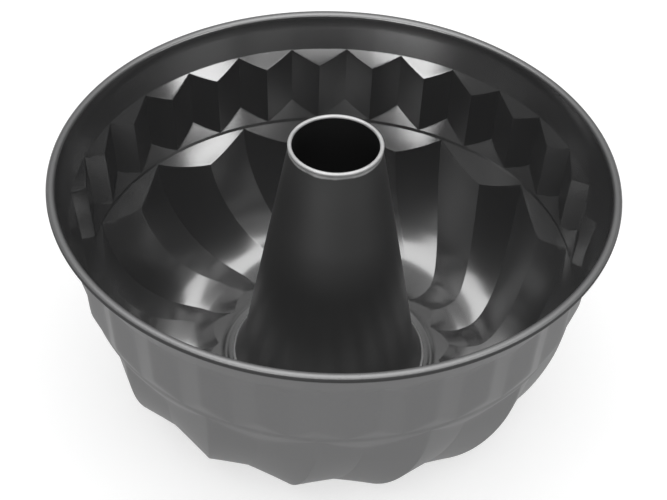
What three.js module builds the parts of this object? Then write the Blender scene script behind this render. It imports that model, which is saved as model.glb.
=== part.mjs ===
// Fluted ring-cake pan: a pressed sheet-steel bowl with two bands of flutes, a wire rolled
// into its rim, and a tapered centre tube clinched through the floor.
// Millimetres, +Z up, the lobes of the bowl stand on Z = 0, the tube is on the Z axis.
import * as THREE from "three";

// Sheet and rolled rim
const sheet = 0.6;
const rimDiameter = 220;
const rimRollDiameter = 3.6;
const rimRollSweep = 300;
const rimRollSteps = 7;
const wireClearance = 0.3;

// Plain band under the rim, then the upper band of straight flutes
const plainBandHeight = 12.1;
const plainBandTaper = 4.8;
const upperBandHeight = 30.7;
const upperBandTaper = 3.8;
const upperFluteDepth = 2.8;
const upperTopFacet = 6.2;
const upperBottomFacet = 8.7;

// Smooth ring between the bands
const ringHeight = 1.6;

// Lower band of swirled flutes, half as many as in the upper band
const lowerFlutes = 14;
const lowerBandHeight = 49.3;
const lowerLean = 2.9;
const lowerWall = 25;
const lowerTurn = 16.5;
const lowerDepthAtTop = 3.5;
const lowerDepthAtFoot = 3.2;
const lowerTopFacet = 10.8;
const lowerSwirl = 14.6;
const lowerSwirlGrowth = 2.1;
const ridgeLead = 1.3;
const grooveLand = 0.08;

// Underside and floor
const footCircleDiameter = 119.8;
const footLength = 4.2;
const floorRise = 5.4;
const grooveTipDiameter = 89;
const floorCrimpDiameter = 83;

// Centre tube, and the joint that clinches it to the floor
const tubeHeight = 113.5;
const tubeTopDiameter = 35.8;
const tubeLipDiameter = 1.6;
const tubeShoulderDiameter = 64.6;
const tubeShoulderHeight = 25;
const tubeFootDiameter = 77;
const tubeFootSlope = 58;
const neckDiameter = 66;
const clinchWidth = 4;
const jointClearance = 0.2;

const bowlColour = 0x34363a;
const tubeColour = 0x3a3c40;
const wireColour = 0xa8abaf;

const RAD = Math.PI / 180;
const COLUMNS_PER_FLUTE = 8;
const COLUMNS = lowerFlutes * COLUMNS_PER_FLUTE;
const PITCH = (2 * Math.PI) / lowerFlutes;

// Levels and radii of the cake side of the sheet
const grooveFloor = sheet;
const floorTop = grooveFloor + floorRise;
const ringBottom = grooveFloor + lowerBandHeight;
const ringTop = ringBottom + ringHeight;
const upperTop = ringTop + upperBandHeight;
const rollRadius = rimRollDiameter / 2;
const rollHeight = upperTop + plainBandHeight;
const rollCentre = rimDiameter / 2 - rollRadius;
const upperRadius = rollCentre - rollRadius - plainBandTaper;
const ringRadius = upperRadius - upperBandTaper - upperFluteDepth;
const footOuter = footCircleDiameter / 2 + footLength / 2;
const footInner = footCircleDiameter / 2 - footLength / 2;
const grooveTip = grooveTipDiameter / 2;

const place = (radius, azimuth, height) =>
  new THREE.Vector3(radius * Math.sin(azimuth), radius * Math.cos(azimuth), height);

const circleRow = (radius, height, azimuth = 0) =>
  Array.from({ length: COLUMNS }, (_, i) => place(radius, azimuth + (i / COLUMNS) * 2 * Math.PI, height));

// Upper band: groove and ridge are straight lines on two cones, flat facets between them
const upperGroove = (drop) => ({
  radius: upperRadius - (upperBandTaper * drop) / upperBandHeight,
  height: upperTop - drop,
});

function upperPoint(column, dropOf) {
  const side = column % 4;
  const share = [0, 0.5, 1, 0.5][side];
  const grooveColumn = side === 3 ? column + 1 : column - side;
  const ridgeColumn = side === 3 ? column - 1 : column - side + 2;
  const { radius, height } = upperGroove(dropOf(share));
  const groove = place(radius, (grooveColumn / COLUMNS) * 2 * Math.PI, height);
  const ridge = place(radius - upperFluteDepth, (ridgeColumn / COLUMNS) * 2 * Math.PI, height);
  return groove.lerp(ridge, share);
}

const upperRow = (dropOf) => Array.from({ length: COLUMNS }, (_, i) => upperPoint(i, dropOf));

// Lower band: the groove follows one cubic curve from the ring down to the foot
const grooveCurve = new THREE.CubicBezierCurve(
  new THREE.Vector2(ringRadius, ringBottom),
  new THREE.Vector2(ringRadius - lowerLean, ringBottom - lowerWall),
  new THREE.Vector2(footOuter + lowerTurn, grooveFloor),
  new THREE.Vector2(footOuter, grooveFloor),
);

// The curve's speed changes almost evenly, so its length is taken from its two end speeds
const startSpeed = 3 * Math.hypot(lowerLean, lowerWall);
const endSpeed = 3 * lowerTurn;
const grooveLength = (t) => startSpeed * t + ((endSpeed - startSpeed) / 2) * t * t;
const swirlAt = (t) => lowerSwirl * RAD * Math.pow(grooveLength(t) / grooveLength(1), lowerSwirlGrowth);
const runOut = footInner - grooveTip;
const apexAt = lowerTopFacet / (3 * lowerWall);

function lowerSection(t) {
  const along = (t - apexAt) / (1 - apexAt);
  const depth = lowerDepthAtTop + (lowerDepthAtFoot - lowerDepthAtTop) * along;
  const { x, y } = grooveCurve.getPoint(t);
  const way = grooveCurve.getTangent(t);
  const groove = { radius: x, height: y };
  const ridge = { radius: x + depth * way.y, height: y - depth * way.x };
  return { groove, ridge, swirl: swirlAt(t) };
}

function runOutSection(share) {
  const reach = Math.sqrt(Math.max(0, 1 - (lowerDepthAtFoot * share) / floorRise));
  return (fraction) => {
    const along = reach * fraction;
    const groove = {
      radius: footInner - runOut * along,
      height: grooveFloor + floorRise * along * along,
    };
    const ridge = { radius: groove.radius, height: groove.height + lowerDepthAtFoot };
    return { groove, ridge, swirl: swirlAt(1) };
  };
}

// One column of a flute: its share of the way from the groove's land to the ridge
function fluteColumn(column) {
  const step = column % COLUMNS_PER_FLUTE;
  const half = COLUMNS_PER_FLUTE / 2;
  const centre = step > half ? column - step + COLUMNS_PER_FLUTE : column - step;
  const side = step > half ? -1 : 1;
  const count = step > half ? COLUMNS_PER_FLUTE - step : step;
  const share = count === 0 ? 0 : (count - 1) / (half - 1);
  return { centre: (centre / COLUMNS) * 2 * Math.PI, side, share, inLand: count === 0 };
}

function lowerRow(sectionOf) {
  return Array.from({ length: COLUMNS }, (_, i) => {
    const { centre, side, share, inLand } = fluteColumn(i);
    const { groove, ridge, swirl } = sectionOf(share);
    const landEdge = inLand ? 0 : (side * grooveLand * PITCH) / 2;
    const low = place(groove.radius, centre + swirl + landEdge, groove.height);
    const lead = ridgeLead * RAD + (side * PITCH) / 2;
    const high = place(ridge.radius, centre + swirl + lead, ridge.height);
    return low.lerp(high, share);
  });
}

// Rows of the cake side, from the end of the rim roll down to the hole in the floor
function bowlRows() {
  const rows = [];
  for (let i = 0; i <= rimRollSteps; i += 1) {
    const turn = Math.PI - rimRollSweep * RAD * (1 - i / rimRollSteps);
    rows.push(circleRow(rollCentre + rollRadius * Math.cos(turn), rollHeight + rollRadius * Math.sin(turn)));
  }
  rows.push(circleRow(upperRadius, upperTop));
  rows.push(upperRow((share) => upperTopFacet * share));
  rows.push(upperRow((share) => upperBandHeight - upperBottomFacet * (1 - share)));
  rows.push(circleRow(ringRadius, ringTop));
  rows.push(circleRow(ringRadius, ringBottom));
  rows.push(lowerRow((share) => lowerSection(apexAt * share)));
  const wallRows = 6;
  for (let i = 1; i <= wallRows; i += 1) {
    const t = apexAt + ((1 - apexAt) * i) / wallRows;
    rows.push(lowerRow(() => lowerSection(t)));
  }
  rows.push(lowerRow((share) => runOutSection(share)(0)));
  rows.push(lowerRow((share) => runOutSection(share)(0.55)));
  rows.push(lowerRow((share) => runOutSection(share)(1)));
  const swirlEnd = swirlAt(1);
  rows.push(circleRow(floorCrimpDiameter / 2, floorTop, swirlEnd));
  rows.push(circleRow(neckDiameter / 2 + jointClearance, floorTop, swirlEnd));
  return { rows, footRows: [rows.length - 6, rows.length - 5] };
}

// A sheet of even thickness under a grid of rows, closed at its first and last row
function sheetFromRows({ rows, footRows }) {
  const points = [];
  const index = rows.map(() => []);
  rows.forEach((row, j) => {
    row.forEach((point, i) => {
      const above = j > 0 ? index[j - 1][i] : -1;
      if (above >= 0 && points[above].distanceTo(point) < 0.01) {
        index[j].push(above);
        return;
      }
      index[j].push(points.length);
      points.push(point);
    });
  });
  const faces = [];
  const addFace = (a, b, c) => {
    if (a !== b && b !== c && c !== a) faces.push([a, b, c]);
  };
  for (let j = 0; j + 1 < rows.length; j += 1) {
    for (let i = 0; i < COLUMNS; i += 1) {
      const next = (i + 1) % COLUMNS;
      addFace(index[j][i], index[j + 1][i], index[j + 1][next]);
      addFace(index[j][i], index[j + 1][next], index[j][next]);
    }
  }
  const normals = points.map(() => new THREE.Vector3());
  for (const [a, b, c] of faces) {
    const along = points[b].clone().sub(points[a]);
    const across = points[c].clone().sub(points[a]);
    const normal = along.cross(across);
    for (const corner of [a, b, c]) normals[corner].add(normal);
  }
  const under = points.map((point, i) => point.clone().addScaledVector(normals[i].normalize(), -sheet));
  for (const j of footRows) {
    for (let i = 0; i < COLUMNS; i += 1) {
      const { share } = fluteColumn(i);
      const corner = index[j][i];
      if (share === 0) under[corner].set(points[corner].x, points[corner].y, 0);
    }
  }
  const count = points.length;
  const triangles = [];
  for (const [a, b, c] of faces) {
    triangles.push(a, b, c);
    triangles.push(a + count, c + count, b + count);
  }
  const first = index[0];
  const last = index[rows.length - 1];
  for (let i = 0; i < COLUMNS; i += 1) {
    const next = (i + 1) % COLUMNS;
    triangles.push(first[i], first[next], first[next] + count);
    triangles.push(first[i], first[next] + count, first[i] + count);
    triangles.push(last[next], last[i], last[i] + count);
    triangles.push(last[next], last[i] + count, last[next] + count);
  }
  const geometry = new THREE.BufferGeometry();
  const coordinates = [...points, ...under].flatMap((p) => [p.x, p.y, p.z]);
  geometry.setAttribute("position", new THREE.Float32BufferAttribute(coordinates, 3));
  geometry.setIndex(triangles);
  geometry.computeVertexNormals();
  return geometry;
}

// Centre tube: lip, cone, flared shoulder, fold back along the floor, neck and clinched flange
function tubeGeometry() {
  const point = (radius, height) => new THREE.Vector2(radius, height);
  const lip = tubeLipDiameter / 2;
  const topRadius = tubeTopDiameter / 2;
  const shoulder = point(tubeShoulderDiameter / 2, tubeShoulderHeight);
  const slope = Math.atan2(shoulder.x - topRadius, tubeHeight - lip - shoulder.y);
  const seat = floorTop + jointClearance;
  const foot = point(tubeFootDiameter / 2, seat + sheet / 2);
  const footFall = tubeFootSlope * RAD;

  // Flare of the shoulder: leaves along the cone, lands at the foot's slope
  const leave = point(Math.sin(slope), -Math.cos(slope));
  const land = point(Math.cos(footFall), -Math.sin(footFall));
  const cross = leave.x * land.y - leave.y * land.x;
  const gap = foot.clone().sub(shoulder);
  const reach = (gap.x * land.y - gap.y * land.x) / cross;
  const corner = shoulder.clone().addScaledVector(leave, reach);
  const flare = new THREE.QuadraticBezierCurve(shoulder, corner, foot);
  const steps = 5;
  const outer = [];
  const inner = [];
  for (let i = 0; i <= steps; i += 1) {
    const t = i / steps;
    const at = flare.getPoint(t);
    const along = flare.getTangent(t);
    outer.push(at);
    const inside = point(at.x + along.y * sheet, at.y - along.x * sheet);
    if (inside.y > seat + sheet * 1.3) inner.push(inside);
  }
  const wedge = inner[inner.length - 1];

  const outline = [];
  for (const degrees of [200, 150, 100, 50, 0, -50]) {
    const turn = degrees * RAD;
    const lipCentre = topRadius - sheet / 2;
    outline.push(point(lipCentre + lip * Math.cos(turn), tubeHeight - lip + lip * Math.sin(turn)));
  }
  outline.push(point(topRadius + 2 * lip * Math.tan(slope), tubeHeight - 3 * lip));
  outline.push(...outer);
  outline.push(point(foot.x - sheet / 2, seat));
  outline.push(point(neckDiameter / 2, seat));
  const underFloor = floorTop - sheet - jointClearance;
  outline.push(point(neckDiameter / 2, underFloor));
  outline.push(point(neckDiameter / 2 + clinchWidth, underFloor));
  outline.push(point(neckDiameter / 2 + clinchWidth, underFloor - sheet));
  outline.push(point(neckDiameter / 2, underFloor - sheet));
  outline.push(point(neckDiameter / 2 - sheet, underFloor));
  outline.push(point(neckDiameter / 2 - sheet, seat));
  outline.push(point(neckDiameter / 2, seat + sheet));
  outline.push(point(wedge.x - sheet / 2, seat + sheet));
  outline.push(...inner.reverse());
  outline.push(point(topRadius - sheet + 2 * lip * Math.tan(slope), tubeHeight - 3 * lip));
  outline.push(outline[0].clone());
  const segments = 48;
  const geometry = new THREE.LatheGeometry(outline.reverse(), segments);
  geometry.rotateX(Math.PI / 2);
  return geometry;
}

// Steel wire lying inside the rim roll
function wireGeometry() {
  const wireRadius = rollRadius - sheet - wireClearance;
  const geometry = new THREE.TorusGeometry(rollCentre, wireRadius, 7, COLUMNS / 2);
  geometry.translate(0, 0, rollHeight);
  return geometry;
}

function piece(name, geometry, colour, roughness, metalness) {
  const material = new THREE.MeshStandardMaterial({ color: colour, roughness, metalness });
  const mesh = new THREE.Mesh(geometry, material);
  mesh.name = name;
  return mesh;
}

const pan = new THREE.Group();
pan.name = "cake_pan";
pan.add(piece("bowl", sheetFromRows(bowlRows()), bowlColour, 0.35, 0.6));
pan.add(piece("centre_tube", tubeGeometry(), tubeColour, 0.35, 0.6));
pan.add(piece("rim_wire", wireGeometry(), wireColour, 0.4, 1.0));

export default pan;
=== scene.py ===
"""A fluted ring-cake pan: pressed bowl with a rolled rim, and a centre tube clinched to its floor."""
import math

import bpy
from mathutils import Matrix, Vector


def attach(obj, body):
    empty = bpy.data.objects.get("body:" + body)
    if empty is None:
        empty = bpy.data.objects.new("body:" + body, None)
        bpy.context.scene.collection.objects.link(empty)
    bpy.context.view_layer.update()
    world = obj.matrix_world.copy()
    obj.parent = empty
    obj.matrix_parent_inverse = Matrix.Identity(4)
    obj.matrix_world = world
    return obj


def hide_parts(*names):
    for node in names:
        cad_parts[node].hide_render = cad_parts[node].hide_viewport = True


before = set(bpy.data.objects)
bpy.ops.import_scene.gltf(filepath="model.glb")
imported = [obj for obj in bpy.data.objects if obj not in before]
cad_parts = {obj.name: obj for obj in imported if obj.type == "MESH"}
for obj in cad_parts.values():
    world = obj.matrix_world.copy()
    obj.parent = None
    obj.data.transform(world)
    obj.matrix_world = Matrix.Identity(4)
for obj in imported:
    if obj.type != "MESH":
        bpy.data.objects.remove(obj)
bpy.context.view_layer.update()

MM = 0.001
PER_METRE = 1000.0
TAU = 2 * math.pi

# Sheet and rolled rim: all sizes of the pan are in millimetres and degrees
SHEET = 0.6
RIM_RADIUS = 110.0
ROLL_RADIUS = 1.8
ROLL_SWEEP = 300.0

# Plain band under the rim, upper band of straight flutes, and the smooth ring below it
PLAIN_HEIGHT = 12.1
PLAIN_TAPER = 4.8
UPPER_HEIGHT = 30.7
UPPER_TAPER = 3.8
UPPER_DEPTH = 2.8
UPPER_TOP_FACET = 6.2
UPPER_BOTTOM_FACET = 7.2
RING_HEIGHT = 1.6

# Lower band of swirled flutes, half as many as in the upper band
FLUTES = 14
LOWER_HEIGHT = 49.3
LOWER_DEPTH_TOP = 4.0
LOWER_DEPTH_FOOT = 3.2
LOWER_TOP_FACET = 9.5
LOWER_LEAN = 2.9
LOWER_WALL = 25.0
LOWER_TURN = 16.5
LOWER_MEAN_RADIUS = 78.0
SWIRL = 14.6
SWIRL_GROWTH = 2.1
SWIRL_EASE = 5.0
RIDGE_LEAD = 1.3

# Foot that the lobes stand on, and the floor with its bead round the tube
FOOT_RADIUS = 59.9
FOOT_LENGTH = 4.2
FLOOR_RISE = 5.4
GROOVE_TIP = 44.5
BEAD_RADIUS = 41.3
BEAD_REACH = 2.6
BEAD_WIDTH = 1.15
BEAD_HEIGHT = 0.6

# Centre tube, and the joint that clinches it to the floor
TUBE_HEIGHT = 113.5
TUBE_TOP_RADIUS = 17.9
TUBE_LIP_RADIUS = 0.8
TUBE_LIP_DEPTH = 3 * TUBE_LIP_RADIUS
TUBE_SHOULDER_RADIUS = 33.45
TUBE_SHOULDER_HEIGHT = 18.0
TUBE_FOOT_RADIUS = 38.5
TUBE_FOOT_SLOPE = 48.0
NECK_RADIUS = 33.0
CLINCH_WIDTH = 4.0
CLEARANCE = 0.2

# Levels and radii that follow from these
FLOOR_TOP = SHEET + FLOOR_RISE
RING_BOTTOM = SHEET + LOWER_HEIGHT
RING_TOP = RING_BOTTOM + RING_HEIGHT
UPPER_TOP = RING_TOP + UPPER_HEIGHT
RIM_HEIGHT = UPPER_TOP + PLAIN_HEIGHT
ROLL_CENTRE = RIM_RADIUS - ROLL_RADIUS
WALL_RADIUS = ROLL_CENTRE - ROLL_RADIUS - PLAIN_TAPER
RING_RADIUS = WALL_RADIUS - UPPER_TAPER - UPPER_DEPTH


class Value:
    """A node's output. Arithmetic on it adds Math nodes to its tree."""

    def __init__(self, tree, socket):
        self.tree = tree
        self.socket = socket

    def math(self, operation, *others):
        terms = dict(enumerate((self,) + others))
        return self.tree.add("ShaderNodeMath", {"operation": operation}, terms)[0]

    def __add__(self, other):
        return self.math("ADD", other)

    __radd__ = __add__

    def __sub__(self, other):
        return self.math("SUBTRACT", other)

    def __neg__(self):
        return self * -1.0

    def __rsub__(self, other):
        return -self + other

    def __mul__(self, other):
        return self.math("MULTIPLY", other)

    __rmul__ = __mul__

    def __truediv__(self, other):
        return self.math("DIVIDE", other)

    def __rtruediv__(self, other):
        return self ** -1.0 * other

    def __pow__(self, other):
        return self.math("POWER", other)

    def sin(self):
        return self.math("SINE")

    def cos(self):
        return self.math("COSINE")

    def sqrt(self):
        return self.math("SQRT")

    def exp(self):
        return self.math("EXPONENT")

    def fraction(self):
        return self.math("FRACT")

    def is_under(self, other):
        return self.math("LESS_THAN", other)

    def least(self, other):
        return self.math("MINIMUM", other)

    def most(self, other):
        return self.math("MAXIMUM", other)

    def unit(self):
        """The value kept between 0 and 1."""
        return self.most(0.0).least(1.0)

    def wave(self):
        """Rises to 1 at odd numbers and falls to 0 at even ones."""
        return self.math("PINGPONG", 1.0)

    def soft_least(self, other, reach):
        return self.math("SMOOTH_MIN", other, reach)

    def soft_most(self, other, reach):
        return self.math("SMOOTH_MAX", other, reach)


class Tree:
    """A node tree that is filled by one method."""

    def __init__(self, tree):
        self.tree = tree

    def feed(self, socket, value):
        if isinstance(value, Value):
            self.tree.links.new(value.socket, socket)
        else:
            socket.default_value = value

    def add(self, kind, settings=None, inputs=None):
        """A new node with its settings and the values or links of its sockets. Gives its outputs."""
        node = self.tree.nodes.new(kind)
        for name, value in (settings or {}).items():
            setattr(node, name, value)
        for name, value in (inputs or {}).items():
            self.feed(node.inputs[name], value)
        return [Value(self, socket) for socket in node.outputs]


# Bowl: bands of a grid laid out by its columns, round the pan, and its rows, down the wall
COLUMNS_PER_FLUTE = 28
COLUMNS = FLUTES * COLUMNS_PER_FLUTE
UPPER_HALF = TAU / FLUTES / 4
LOWER_HALF = TAU / FLUTES / 2
CROWDING = 0.9
CREASE_SHARE = 0.005
CREASE_SOFTNESS = 0.08
MERGE_DISTANCE = 0.02

# Rows of each band, from the rim to the tube. Upper: plain band, top facet, flute, bottom facet.
# Lower: top facet, wall, foot, run-out. Floor: outside the bead, over it, inside it.
ROLL_ROWS = 24
UPPER_ROWS = (6, 6, 6, 6)
RING_ROWS = 2
LOWER_ROWS = (8, 32, 2, 8)
FLOOR_ROWS = (4, 16, 4)


def crowded(x):
    """Runs with x, slowly near whole numbers, so that columns and rows crowd at the creases."""
    return x - (x * TAU).sin() * (CROWDING / TAU)


def strips(row, counts):
    """How far a row has come, from 0 to 1, through each of a band's strips of so many rows."""
    shares = []
    first = 0
    for count in counts:
        shares.append(((row - first) / count).unit())
        first += count
    return shares


def eased(share):
    """A groove-to-ridge share with its two creases blunted."""
    groove = (1.0 - share * (2.0 / CREASE_SHARE)).most(0.0) ** 3.0
    ridge = (1.0 - (1.0 - share) * (2.0 / CREASE_SHARE)).most(0.0) ** 3.0
    return share + (groove - ridge) * (CREASE_SHARE / 6.0)


def flat_share(share, width, sine, groove, depth):
    """How far in a flat facet has come, between a groove and a ridge that are a width of angle apart."""
    ridge = groove - depth
    across = (share * width).sin() * groove + ((1.0 - share) * width).sin() * ridge
    return (groove - sine * (groove * ridge) / across) / depth


def bent(t, first, second, third, last):
    """A cubic curve with its four stations, and its direction."""
    rest = 1.0 - t
    early = rest * rest * rest * first + rest * rest * t * (3 * second)
    late = rest * t * t * (3 * third) + t * t * t * last
    way = rest * rest * (3 * (second - first)) + rest * t * (6 * (third - second))
    return early + late, way + t * t * (3 * (last - third))


def band(tree, rows, place_of):
    """One band of the sheet. place_of gives radius, azimuth and height from column and row."""
    grid = tree.add("GeometryNodeMeshGrid", None, {
        "Size X": 1.0, "Size Y": 1.0, "Vertices X": COLUMNS + 1, "Vertices Y": rows + 1})[0]
    corner = tree.add("GeometryNodeInputPosition")[0]
    across, along, _ = tree.add("ShaderNodeSeparateXYZ", None, {0: corner})
    radius, azimuth, height = place_of((across + 0.5) * COLUMNS, (along + 0.5) * rows)
    spot = tree.add("ShaderNodeCombineXYZ", None, {
        0: radius * azimuth.sin() * MM, 1: radius * azimuth.cos() * MM, 2: height * MM})[0]
    return tree.add("GeometryNodeSetPosition", None, {"Geometry": grid, "Position": spot})[0]


def upper_step(column):
    """Counts the half flutes of the upper band: grooves are even, ridges odd."""
    return crowded(column / (COLUMNS_PER_FLUTE / 4))


def lower_step(column):
    """Counts the half flutes of the lower band."""
    return crowded(column / (COLUMNS_PER_FLUTE / 2))


def bowl_tree():
    """The bowl's sheet, cake side up, as a tree with named sizes."""
    group = bpy.data.node_groups.new("bowl_sheet", "GeometryNodeTree")
    sizes = {
        "Upper flute depth": UPPER_DEPTH,
        "Upper top facet": UPPER_TOP_FACET,
        "Upper bottom facet": UPPER_BOTTOM_FACET,
        "Lower flute depth": LOWER_DEPTH_TOP,
        "Lower foot depth": LOWER_DEPTH_FOOT,
        "Lower top facet": LOWER_TOP_FACET,
        "Swirl": math.radians(SWIRL),
        "Swirl growth": SWIRL_GROWTH,
        "Ridge lead": math.radians(RIDGE_LEAD),
        "Crease": CREASE_SOFTNESS}
    for name, size in sizes.items():
        socket = group.interface.new_socket(name, in_out="INPUT", socket_type="NodeSocketFloat")
        socket.default_value = size
    group.interface.new_socket("Finish", in_out="INPUT", socket_type="NodeSocketMaterial")
    group.interface.new_socket("Geometry", in_out="OUTPUT", socket_type="NodeSocketGeometry")
    tree = Tree(group)
    given = group.nodes.new("NodeGroupInput")
    size = {name: Value(tree, given.outputs[name]) for name in list(sizes) + ["Finish"]}
    crease = size["Crease"]

    def lower_azimuth(column):
        step = lower_step(column)
        return step * LOWER_HALF + step.wave() * size["Ridge lead"]

    def roll(column, row):
        turn = math.pi - (1.0 - row / ROLL_ROWS) * math.radians(ROLL_SWEEP)
        radius = turn.cos() * ROLL_RADIUS + ROLL_CENTRE
        height = turn.sin() * ROLL_RADIUS + RIM_HEIGHT
        return radius, upper_step(column) * UPPER_HALF, height

    def upper(column, row):
        """The plain band and the straight flutes, with a triangular facet at each end of a flute."""
        step = upper_step(column)
        depth = size["Upper flute depth"]
        share = flat_share(eased(step.wave()), UPPER_HALF, math.sin(UPPER_HALF), WALL_RADIUS, UPPER_DEPTH)
        top_end = size["Upper top facet"] * share
        low_end = UPPER_HEIGHT - size["Upper bottom facet"] * (1.0 - share)
        plain, top, wall, low = strips(row, UPPER_ROWS)
        above = (1.0 - plain) ** 2.0 * PLAIN_HEIGHT
        facets = crowded(top) * top_end + crowded(low) * (UPPER_HEIGHT - low_end)
        drop = facets + crowded(wall) * (low_end - top_end) - above
        below = drop.most(0.0)
        flare = drop.least(0.0) * (PLAIN_TAPER / PLAIN_HEIGHT)
        groove = WALL_RADIUS - below * (UPPER_TAPER / UPPER_HEIGHT) - flare
        sunk = (depth * share).soft_least(depth * below / size["Upper top facet"], crease)
        rising = depth * (1.0 - (UPPER_HEIGHT - drop) / size["Upper bottom facet"])
        sunk = sunk.most(0.0).soft_most(rising, crease).least(depth)
        return groove - sunk, step * UPPER_HALF, UPPER_TOP - drop

    def ring(column, row):
        part = row / RING_ROWS
        azimuth = upper_step(column) * UPPER_HALF * (1.0 - part) + lower_azimuth(column) * part
        return RING_RADIUS, azimuth, RING_TOP - part * RING_HEIGHT

    foot_outer = FOOT_RADIUS + FOOT_LENGTH / 2
    foot_inner = FOOT_RADIUS - FOOT_LENGTH / 2
    run_out = foot_inner - GROOVE_TIP
    start_speed = 3 * math.hypot(LOWER_LEAN, LOWER_WALL)
    end_speed = 3 * LOWER_TURN
    wall_length = (start_speed + end_speed) / 2
    apex = size["Lower top facet"] / (3 * LOWER_WALL)

    def lower_share(column):
        step = lower_step(column)
        rising = (step / 2.0).fraction().is_under(0.5)
        width = (rising * 2.0 - 1.0) * size["Ridge lead"] + LOWER_HALF
        return flat_share(eased(step.wave()), width, width.sin(), LOWER_MEAN_RADIUS, LOWER_DEPTH_TOP)

    def swirled(t, beyond):
        """The turn of a flute, which eases off where it passes the foot."""
        length = t * start_speed + t * t * ((end_speed - start_speed) / 2) + beyond
        turn = size["Swirl"] * (length / wall_length).most(0.0) ** size["Swirl growth"]
        return turn.soft_least(size["Swirl"], math.radians(SWIRL_EASE))

    def reach(share):
        """How much of its run-out a column goes along the rising floor before it meets the flat."""
        return (1.0 - size["Lower foot depth"] * share / FLOOR_RISE).most(0.0).sqrt()

    def lower(column, row):
        """The swirled flutes: a facet at the top, the wall, the foot and the run-out under the cake."""
        share = lower_share(column)
        top, wall, foot, out = strips(row, LOWER_ROWS)
        out = crowded(out) * reach(share)
        start = apex * share
        t = crowded(top) * start + wall * (1.0 - start)
        groove, outward = bent(t, RING_RADIUS, RING_RADIUS - LOWER_LEAN, foot_outer + LOWER_TURN, foot_outer)
        level, upward = bent(t, RING_BOTTOM, RING_BOTTOM - LOWER_WALL, SHEET, SHEET)
        speed = (outward * outward + upward * upward).sqrt()
        change = size["Lower foot depth"] - size["Lower flute depth"]
        depth = size["Lower flute depth"] + change * ((t - apex) / (1.0 - apex))
        sunk = (depth * share).soft_least(depth * t / apex, crease).most(0.0)
        beyond = foot * FOOT_LENGTH + out * run_out
        radius = groove - beyond + sunk * upward / speed
        height = level + out * out * FLOOR_RISE - sunk * outward / speed
        return radius, lower_azimuth(column) + swirled(t, beyond), height

    def floor(column, row):
        """The flat floor, from the groove tips over the bead to the hole for the tube's neck."""
        edge = foot_inner - reach(lower_share(column)) * run_out
        bead_outer = BEAD_RADIUS + BEAD_REACH
        bead_inner = BEAD_RADIUS - BEAD_REACH
        outside, across, inside = strips(row, FLOOR_ROWS)
        radius = edge + (bead_outer - edge) * outside
        radius = radius - across * (bead_outer - bead_inner)
        radius = radius - inside * (bead_inner - NECK_RADIUS - CLEARANCE)
        bead = (-((radius - BEAD_RADIUS) / BEAD_WIDTH) ** 2.0).exp() * BEAD_HEIGHT
        return radius, lower_azimuth(column) + size["Swirl"], bead + FLOOR_TOP

    bands = (
        (ROLL_ROWS, roll), (sum(UPPER_ROWS), upper), (RING_ROWS, ring),
        (sum(LOWER_ROWS), lower), (sum(FLOOR_ROWS), floor))
    joined = group.nodes.new("GeometryNodeJoinGeometry")
    for rows, place_of in bands:
        group.links.new(band(tree, rows, place_of).socket, joined.inputs[0])
    sheet = tree.add("GeometryNodeMergeByDistance", None, {
        "Geometry": Value(tree, joined.outputs[0]), "Distance": MERGE_DISTANCE * MM})[0]
    sheet = tree.add("GeometryNodeFlipFaces", None, {"Mesh": sheet})[0]
    sheet = tree.add("GeometryNodeRealizeInstances", None, {"Geometry": sheet})[0]
    sheet = tree.add("GeometryNodeSetShadeSmooth", None, {"Geometry": sheet})[0]
    sheet = tree.add("GeometryNodeSetMaterial", None, {"Geometry": sheet, "Material": size["Finish"]})[0]
    end = group.nodes.new("NodeGroupOutput")
    group.links.new(sheet.socket, end.inputs[0])
    return group


# Finishes: how strongly a skin mirrors, and its colours
COATING_IOR = 1.9
DULL_IOR = 1.2
# Paler tint of the rolled rim: a painted highlight standing in for the roll's sheen
RIM_PAINTED_SHEEN = (0.07, 0.07, 0.071, 1.0)
# Darker, less glossy skin low on the roll's outside: painted shade under the roll
RIM_PAINTED_SHADE = (0.062, 0.062, 0.063, 1.0)
# Pale colours of the tube's edges: the bare lip, partly a painted highlight, and the foot's painted highlight
BARE_AND_HIGHLIGHT_DIM = (0.3, 0.3, 0.3, 1.0)
BARE_AND_HIGHLIGHT_BRIGHT = (0.62, 0.62, 0.62, 1.0)
COOL_TINT = 1.015

# Sprayed coating: scale and detail of each noise, and how they share in its tint, gloss and relief
DRIFT = (22.0, 3.0)
GRAIN = (900.0, 2.0)
PEEL = (260.0, 1.0)
# Noise that makes the bare lip and the painted highlights at the lip and foot ragged
WEAR_AND_GLINT = (160.0, 2.0)
DRIFT_IN_TINT = 0.6
DRIFT_IN_GLOSS = 0.06
GRAIN_IN_GLOSS = 0.03
PEEL_IN_RELIEF = 0.7
BUMP_DISTANCE = 0.1

# Rim: satin on the roll, from its inner edge outwards, with a paler tint there as painted highlight; low on
# its outside a darker, less glossy skin as painted shade, which also lies a little over the whole roll
RIM_MARGIN = 0.2
RIM_FADE = 1.4
RIM_DEPTH = 8.0
RIM_SATIN = 0.28
# Least share of the painted shade over the whole roll, which dims its highlight
RIM_LEAST_SHADE = 0.16
UNDER_SLANT = 0.9
UNDER_START = 0.5
UNDER_FADE = 0.5
UNDER_ROUGHNESS = 0.6

# Tube: how far its pale edges reach, how ragged they are and how they fade: a bare lip that is partly a
# painted highlight, and a band along the foot that is a painted highlight
LIP_RAGGED = 1.2
LIP_FADE = 0.7
FOOT_EDGE = 2.0
FOOT_RAGGED = 0.8
FOOT_FADE = 0.4
# How pale the foot's band of painted highlight gets
FOOT_HIGHLIGHT = 0.8


def grey(level):
    return (level, level, level * COOL_TINT, 1.0)


def new_finish(name):
    material = bpy.data.materials.new(name)
    material.use_nodes = True
    material.node_tree.nodes.clear()
    return material, Tree(material.node_tree)


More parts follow.
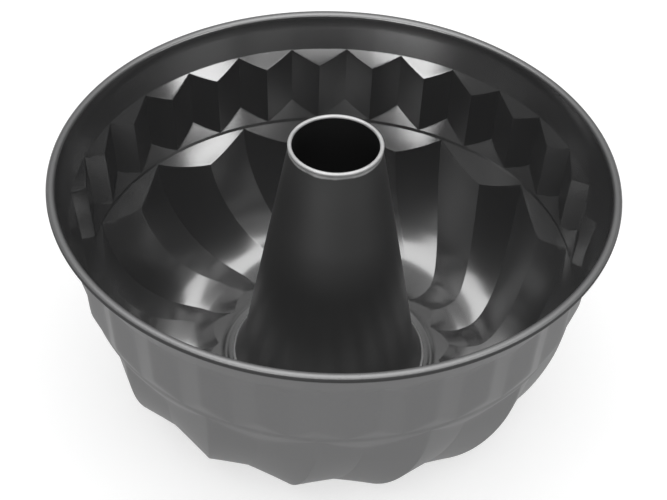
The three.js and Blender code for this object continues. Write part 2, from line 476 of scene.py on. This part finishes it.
def object_place(tree):
    return tree.add("ShaderNodeTexCoord")[3]


def noise(tree, spot, scale, detail):
    return tree.add("ShaderNodeTexNoise", None, {"Vector": spot, "Scale": scale, "Detail": detail})[0]


def mixed(tree, share, low, high):
    return tree.add("ShaderNodeMix", {"data_type": "RGBA"}, {0: share, 6: low, 7: high})[2]


def bumped(tree, relief, strength):
    return tree.add("ShaderNodeBump", None, {
        "Strength": strength, "Distance": BUMP_DISTANCE * MM, "Height": relief})[0]


def skin_shader(tree, tint, roughness, normal, ior, metal=0.0):
    return tree.add("ShaderNodeBsdfPrincipled", None, {
        "Base Color": tint, "Roughness": roughness, "Normal": normal, "IOR": ior, "Metallic": metal})[0]


def coating(tree, spot, dark, pale, rough):
    """Tint, gloss and relief of a sprayed coating: an even skin with a fine peel and paler specks."""
    drift = noise(tree, spot, *DRIFT)
    grain = noise(tree, spot, *GRAIN)
    peel = noise(tree, spot, *PEEL)
    speck = (drift * DRIFT_IN_TINT + grain * (1.0 - DRIFT_IN_TINT)).unit()
    gloss = (drift - 0.5) * DRIFT_IN_GLOSS + (grain - 0.5) * GRAIN_IN_GLOSS + rough
    relief = peel * PEEL_IN_RELIEF + grain * (1.0 - PEEL_IN_RELIEF)
    return mixed(tree, speck, dark, pale), gloss, relief


def plain_coating(name, dark, pale, rough, bump, ior=COATING_IOR, metal=0.0):
    """One coating all over."""
    material, tree = new_finish(name)
    tint, gloss, relief = coating(tree, object_place(tree), dark, pale, rough)
    shader = skin_shader(tree, tint, gloss, bumped(tree, relief, bump), ior, metal)
    tree.add("ShaderNodeOutputMaterial", None, {"Surface": shader})
    return material


def rimmed_coating(name, dark, pale, rough, bump):
    """The cake side: the dark coating is satin on the rolled rim with a paler tint as painted highlight, and
    darker and less glossy on its outside as painted shade.
    """
    material, tree = new_finish(name)
    spot = object_place(tree)
    tint, gloss, relief = coating(tree, spot, dark, pale, rough)
    x, y, z = tree.add("ShaderNodeSeparateXYZ", None, {0: spot})
    radius = (x * x + y * y).sqrt() * PER_METRE
    height = z * PER_METRE - RIM_HEIGHT
    rolled = ((radius - (RIM_RADIUS - 2 * ROLL_RADIUS - RIM_MARGIN)) / RIM_FADE).unit()
    rim = rolled * (height + RIM_DEPTH).unit()
    normal = bumped(tree, relief, bump)
    # On the rolled rim the tint turns paler: painted highlight
    top = skin_shader(tree, mixed(tree, rim, tint, RIM_PAINTED_SHEEN), gloss + rim * RIM_SATIN, normal, COATING_IOR)
    # A darker, less glossy skin: painted shade
    under = skin_shader(tree, RIM_PAINTED_SHADE, UNDER_ROUGHNESS, normal, DULL_IOR)
    outward = radius - ROLL_CENTRE - height * UNDER_SLANT
    # Where the painted shade lies: low on the roll's outside, and a little over all of the roll
    painted_shade = ((outward - UNDER_START) / UNDER_FADE).unit().most(RIM_LEAST_SHADE) * rim
    shader = tree.add("ShaderNodeMixShader", None, {0: painted_shade, 1: top, 2: under})[0]
    tree.add("ShaderNodeOutputMaterial", None, {"Surface": shader})
    return material


def lipped_coating(name, dark, pale, rough, bump):
    """The tube: the dark coating turns pale at the curled lip, a bare edge that is partly a painted
    highlight, and along the foot, where the pale band is a painted highlight.
    """
    material, tree = new_finish(name)
    spot = object_place(tree)
    tint, gloss, relief = coating(tree, spot, dark, pale, rough)
    height = tree.add("ShaderNodeSeparateXYZ", None, {0: spot})[2] * PER_METRE
    # Ragged noise of the bare lip and of the painted highlights at the lip and foot
    wear_and_glint = noise(tree, spot, *WEAR_AND_GLINT)
    lip = ((height - (TUBE_HEIGHT - TUBE_LIP_DEPTH) + wear_and_glint * LIP_RAGGED) / LIP_FADE).unit()
    foot_top = FLOOR_TOP + CLEARANCE + FOOT_EDGE
    # A pale band along the foot: painted highlight
    foot = ((foot_top - height - wear_and_glint * FOOT_RAGGED) / FOOT_FADE).unit() * FOOT_HIGHLIGHT
    # The lip and foot turn pale: bare lip partly painted highlight, foot band painted highlight
    skin = mixed(tree, lip.most(foot), tint, mixed(tree, wear_and_glint, BARE_AND_HIGHLIGHT_DIM, BARE_AND_HIGHLIGHT_BRIGHT))
    shader = skin_shader(tree, skin, gloss, bumped(tree, relief, bump), COATING_IOR)
    tree.add("ShaderNodeOutputMaterial", None, {"Surface": shader})
    return material


inside_finish = rimmed_coating("nonstick_inside", grey(0.025), grey(0.034), rough=0.2, bump=0.015)
outside_finish = plain_coating("grey_outside", grey(0.086), grey(0.122), rough=0.5, bump=0.05, metal=0.25)
tube_finish = lipped_coating("nonstick_tube", grey(0.008), grey(0.013), rough=0.46, bump=0.015)
bore_finish = plain_coating("dull_bore", grey(0.008), grey(0.014), rough=0.7, bump=0.04, ior=DULL_IOR)
wire_finish = plain_coating("drawn_wire", grey(0.42), grey(0.52), rough=0.35, bump=0.1, metal=1.0)


# The bowl's outer skin is rounded between these heights, and its folds are crisp past this angle
ROUNDING_FROM = RING_BOTTOM - 18.0
ROUNDING_TO = RIM_HEIGHT - 4.0
ROUNDING_FADE = 5.0
ROUNDING_STEP = 0.5
ROUNDING_PASSES = 14
SHARP_FOLD = 18.0


def settle(name, data):
    """A mesh as an object at the origin."""
    piece = bpy.data.objects.new(name, data)
    bpy.context.scene.collection.objects.link(piece)
    return piece


def applied(piece):
    """The piece's mesh with its modifiers worked in. They are removed from the piece."""
    shown = piece.evaluated_get(bpy.context.evaluated_depsgraph_get())
    data = bpy.data.meshes.new_from_object(shown)
    piece.modifiers.clear()
    return data


def rounding_at(height):
    """How far the outer skin is rounded at a height: from below the ring to the foot of the plain band."""
    start = (height - ROUNDING_FROM) / ROUNDING_FADE
    end = (ROUNDING_TO - height) / ROUNDING_FADE
    return max(0.0, min(1.0, start, end))


def make_bowl():
    bowl = settle("bowl_sheet", bpy.data.meshes.new("bowl_sheet"))
    group = bowl_tree()
    grow = bowl.modifiers.new("sheet", "NODES")
    grow.node_group = group
    for item in group.interface.items_tree:
        if item.item_type == "SOCKET" and item.in_out == "INPUT":
            grow[item.identifier] = inside_finish if item.name == "Finish" else item.default_value
    bowl.data = applied(bowl)
    bowl.data.materials.clear()
    bowl.data.materials.append(inside_finish)
    bowl.data.materials.append(outside_finish)
    cake_side = len(bowl.data.vertices)

    wall = bowl.modifiers.new("thickness", "SOLIDIFY")
    wall.thickness = SHEET * MM
    wall.offset = -1.0
    wall.material_offset = 1
    wall.material_offset_rim = 1
    bowl.data = applied(bowl)

    outside = bowl.vertex_groups.new(name="outside")
    for spot in bowl.data.vertices[cake_side:]:
        outside.add([spot.index], rounding_at(spot.co.z / MM), "REPLACE")
    rounding = bowl.modifiers.new("rounding", "SMOOTH")
    rounding.vertex_group = outside.name
    rounding.factor = ROUNDING_STEP
    rounding.iterations = ROUNDING_PASSES
    bowl.data = applied(bowl)
    bowl.vertex_groups.clear()
    bowl.data.set_sharp_from_angle(angle=math.radians(SHARP_FOLD))
    return bowl


# Tube: its lip is an arc, its foot a flare, and the flare's inner skin stops above the fold
LIP_START = 200.0
LIP_SWEEP = 250.0
LIP_STEPS = 12
CONE_STEPS = 8
FLARE_STEPS = 14
FOLD_ROOM = 1.3 * SHEET
TUBE_SIDES = 160


def tube_flare(shoulder, foot, leave, land):
    """Outer and inner skin of the flare, which leaves the shoulder one way and lands on the foot another."""
    gap = foot - shoulder
    reach = (gap.x * land.y - gap.y * land.x) / (leave.x * land.y - leave.y * land.x)
    corner = shoulder + leave * reach
    outer = []
    inner = []
    for i in range(FLARE_STEPS + 1):
        t = i / FLARE_STEPS
        spot = shoulder * (1 - t) ** 2 + corner * (2 * t * (1 - t)) + foot * t ** 2
        along = ((corner - shoulder) * (1 - t) + (foot - corner) * t).normalized()
        outer.append(spot)
        inner.append(Vector((spot.x + along.y * SHEET, spot.y - along.x * SHEET)))
    return outer, inner


def tube_outline():
    """Lip, cone, flare, fold along the floor, neck, clinch and the bore. Gives also where the bore starts."""
    cone_height = TUBE_HEIGHT - TUBE_LIP_RADIUS - TUBE_SHOULDER_HEIGHT
    slope = math.atan2(TUBE_SHOULDER_RADIUS - TUBE_TOP_RADIUS, cone_height)
    fall = math.radians(TUBE_FOOT_SLOPE)
    seat = FLOOR_TOP + CLEARANCE
    under = FLOOR_TOP - SHEET - CLEARANCE
    shoulder = Vector((TUBE_SHOULDER_RADIUS, TUBE_SHOULDER_HEIGHT))
    foot = Vector((TUBE_FOOT_RADIUS, seat + SHEET / 2))
    leave = Vector((math.sin(slope), -math.cos(slope)))
    land = Vector((math.cos(fall), -math.sin(fall)))
    outer, inner = tube_flare(shoulder, foot, leave, land)
    inner = [spot for spot in inner if spot.y > seat + FOLD_ROOM]

    outline = []
    lip_centre = Vector((TUBE_TOP_RADIUS - SHEET / 2, TUBE_HEIGHT - TUBE_LIP_RADIUS))
    for i in range(LIP_STEPS + 1):
        turn = math.radians(LIP_START - LIP_SWEEP * i / LIP_STEPS)
        outline.append(lip_centre + Vector((math.cos(turn), math.sin(turn))) * TUBE_LIP_RADIUS)
    cone_radius = TUBE_TOP_RADIUS + 2 * TUBE_LIP_RADIUS * math.tan(slope)
    cone_top = TUBE_HEIGHT - TUBE_LIP_DEPTH
    for i in range(CONE_STEPS):
        outline.append(Vector((cone_radius, cone_top)).lerp(shoulder, i / CONE_STEPS))
    outline += outer
    outline += [Vector(spot) for spot in (
        (TUBE_FOOT_RADIUS - SHEET / 2, seat),
        (NECK_RADIUS, seat),
        (NECK_RADIUS, under),
        (NECK_RADIUS + CLINCH_WIDTH, under),
        (NECK_RADIUS + CLINCH_WIDTH, under - SHEET),
        (NECK_RADIUS, under - SHEET),
        (NECK_RADIUS - SHEET, under),
        (NECK_RADIUS - SHEET, seat),
        (NECK_RADIUS, seat + SHEET),
        (inner[-1].x - SHEET / 2, seat + SHEET))]
    bore_start = len(outline) - 1
    outline += inner[::-1]
    outline.append(Vector((cone_radius - SHEET, cone_top)))
    return outline, bore_start


def make_tube():
    """The outline turned round the axis."""
    outline, bore_start = tube_outline()
    count = len(outline)
    spots = []
    faces = []
    skins = []
    for i in range(TUBE_SIDES):
        azimuth = TAU * i / TUBE_SIDES
        here = i * count
        there = ((i + 1) % TUBE_SIDES) * count
        for j, spot in enumerate(outline):
            after = (j + 1) % count
            spots.append((spot.x * MM * math.sin(azimuth), spot.x * MM * math.cos(azimuth), spot.y * MM))
            faces.append((here + j, there + j, there + after, here + after))
            skins.append(1 if j >= bore_start else 0)
    data = bpy.data.meshes.new("tube_sheet")
    data.from_pydata(spots, [], faces)
    data.polygons.foreach_set("use_smooth", [True] * len(faces))
    data.polygons.foreach_set("material_index", skins)
    data.materials.append(tube_finish)
    data.materials.append(bore_finish)
    return settle("tube_sheet", data)


bowl = make_bowl()
tube = make_tube()
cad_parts["rim_wire"].data.materials.clear()
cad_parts["rim_wire"].data.materials.append(wire_finish)
for piece, node in ((bowl, "bowl"), (tube, "centre_tube")):
    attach(piece, "root")
    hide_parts(node)

# Camera of the photograph: a long lens above the rim, its focal length and picture width in pixels
FOCAL = 2749.0
WIDTH = 667.0
SENSOR = 36.0
ELEVATION = math.radians(39.55)
HEADING = math.radians(-1.8)
DISTANCE = 9.56 * RIM_RADIUS
PAN = math.radians(-0.03)
TILT = math.radians(-1.40)
LEAN = math.radians(-2.04)

scene = bpy.context.scene


def aim_camera():
    """Looks down at the middle of the rim, then pans, tilts and leans a little."""
    level = Vector((math.sin(HEADING), math.cos(HEADING), 0))
    right = Vector((math.cos(HEADING), -math.sin(HEADING), 0))
    away = level * -math.cos(ELEVATION) + Vector((0, 0, math.sin(ELEVATION)))
    forward = -away
    up = right.cross(forward)
    for angle, axis in ((PAN, "up"), (TILT, "right"), (LEAN, "forward")):
        pivot = {"up": up, "right": right, "forward": forward}[axis]
        turn = Matrix.Rotation(angle, 3, pivot)
        forward, right, up = turn @ forward, turn @ right, turn @ up
    data = bpy.data.cameras.new("camera")
    data.sensor_width = SENSOR
    data.lens = FOCAL / WIDTH * SENSOR
    camera = bpy.data.objects.new("camera", data)
    place = (Vector((0, 0, RIM_HEIGHT)) + away * DISTANCE) * MM
    camera.matrix_world = Matrix.Translation(place) @ Matrix((right, up, -forward)).transposed().to_4x4()
    scene.collection.objects.link(camera)
    scene.camera = camera


# Studio, in metres and watts: the boxes that the flat facets mirror are seen in reflections only
BOX_AIM = (0, 0, 0.05)
MIRRORED_BOXES = (
    ("left_box", (-0.657, -1.279, 0.55), BOX_AIM, (0.72, 0.35), 9.6),
    ("right_box", (1.255, -0.702, 0.55), BOX_AIM, (0.68, 0.35), 7.0),
    ("middle_box", (0.37, -1.39, 0.55), BOX_AIM, (1.3, 0.35), 4.2),
    ("top_box", (0, -0.42, 1.35), (0, -0.42, 0), (2.3, 1.55), 47.0))
FRONT_BOX = ("front_box", (-0.12, -1.6, 0.9), BOX_AIM, (1.3, 0.5), 3.6)
FLOOR_REACH = 6.0
FLOOR_GREY = (0.5, 0.5, 0.5, 1.0)
FLOOR_GLOW = 0.64
WHITE = (1.0, 1.0, 1.0, 1.0)
SKY_LOW = 0.15
SKY_RISE = 1.7
SKY_GROWTH = 2.2


def soft_box(name, place, aim, size, watts):
    data = bpy.data.lights.new(name, "AREA")
    data.shape = "RECTANGLE"
    data.size, data.size_y = size
    data.energy = watts
    lamp = bpy.data.objects.new(name, data)
    lamp.location = place
    lamp.rotation_euler = (Vector(aim) - Vector(place)).to_track_quat("-Z", "Y").to_euler()
    scene.collection.objects.link(lamp)
    return lamp


def white_floor():
    """A floor that shows white to the camera and in reflections, and lights the pan as a grey one does."""
    data = bpy.data.meshes.new("floor")
    corners = [(x * FLOOR_REACH, y * FLOOR_REACH, 0) for x, y in ((-1, -1), (1, -1), (1, 1), (-1, 1))]
    data.from_pydata(corners, [], [(0, 1, 2, 3)])
    material, tree = new_finish("white_floor")
    camera, _, _, glossy, _, _, transmission = tree.add("ShaderNodeLightPath")[:7]
    plain = tree.add("ShaderNodeBsdfDiffuse", None, {"Color": FLOOR_GREY})[0]
    glow = tree.add("ShaderNodeEmission", None, {"Color": WHITE, "Strength": FLOOR_GLOW})[0]
    lit = tree.add("ShaderNodeAddShader", None, {0: plain, 1: glow})[0]
    shown = (camera + glossy + transmission).unit()
    seen = tree.add("ShaderNodeMixShader", None, {0: shown, 1: plain, 2: lit})[0]
    tree.add("ShaderNodeOutputMaterial", None, {"Surface": seen})
    data.materials.append(material)
    settle("floor", data)


def studio_sky():
    """A plain white sky, dim at the horizon and brightest overhead."""
    world = bpy.data.worlds.new("studio")
    world.use_nodes = True
    world.node_tree.nodes.clear()
    tree = Tree(world.node_tree)
    height = tree.add("ShaderNodeSeparateXYZ", None, {0: tree.add("ShaderNodeTexCoord")[0]})[2]
    strength = height.unit() ** SKY_GROWTH * SKY_RISE + SKY_LOW
    sky = tree.add("ShaderNodeBackground", None, {"Color": WHITE, "Strength": strength})[0]
    tree.add("ShaderNodeOutputWorld", None, {"Surface": sky})
    scene.world = world


aim_camera()
for box in MIRRORED_BOXES:
    soft_box(*box).visible_diffuse = False
soft_box(*FRONT_BOX)
white_floor()
studio_sky()
scene.view_settings.view_transform = "Standard"
